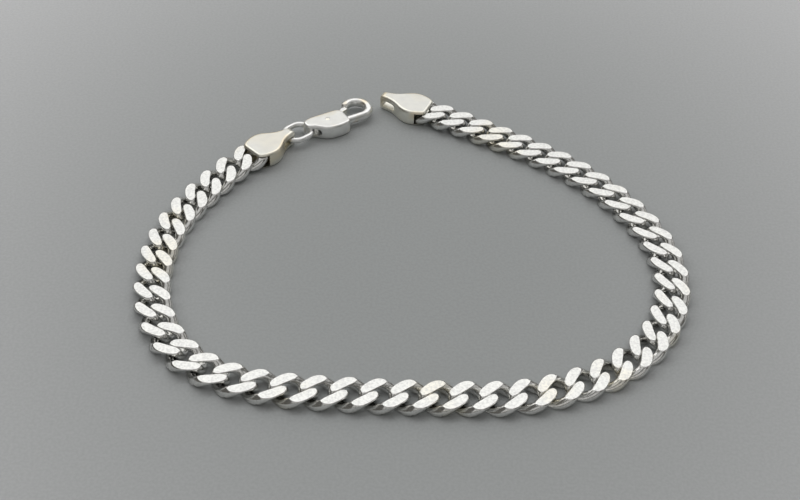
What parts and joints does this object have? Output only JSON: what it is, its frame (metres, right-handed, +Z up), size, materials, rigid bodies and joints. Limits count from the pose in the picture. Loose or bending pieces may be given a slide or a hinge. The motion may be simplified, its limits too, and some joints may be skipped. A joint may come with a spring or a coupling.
{
  "type": "link bracelet",
  "caption": "Flat-cut curb chain bracelet lying open in a loop, with pear-shaped end caps, a jump ring and a sprung lobster clasp.",
  "frame": {"origin": "middle of the bracelet's box in X and Y, on the surface it lies on", "axes": "+X to the right along the longest extent, +Y away from the front of the loop, towards the clasp, +Z up from the surface"},
  "size_m": [0.0748, 0.065, 0.0025],
  "materials": {
    "chain": "silver, satin flat facets with polished sides",
    "caps": "silver, satin top with polished rims",
    "ring": "silver, polished round wire",
    "clasp": "silver, satin body with polished hook",
    "lever": "silver, polished",
    "pin": "silver, polished"
  },
  "bodies": {
    "bracelet": {"chain_left": "chain", "chain_right": "chain", "cap_ring_end": "caps", "cap_catch_end": "caps", "jump_ring": "ring", "clasp_body": "clasp", "clasp_pin": "pin"},
    "lever": {"clasp_lever": "lever"}
  },
  "joints": [
    {"name": "lever_hinge", "type": "hinge", "parent": "bracelet", "child": "lever", "pos_m": [-0.01435, 0.02441, 0.00115], "axis": [0, 0, -1], "range_deg": [0, 14], "stiffness_Nm_per_rad": 0.004, "springref_deg": -17.19}
  ]
}
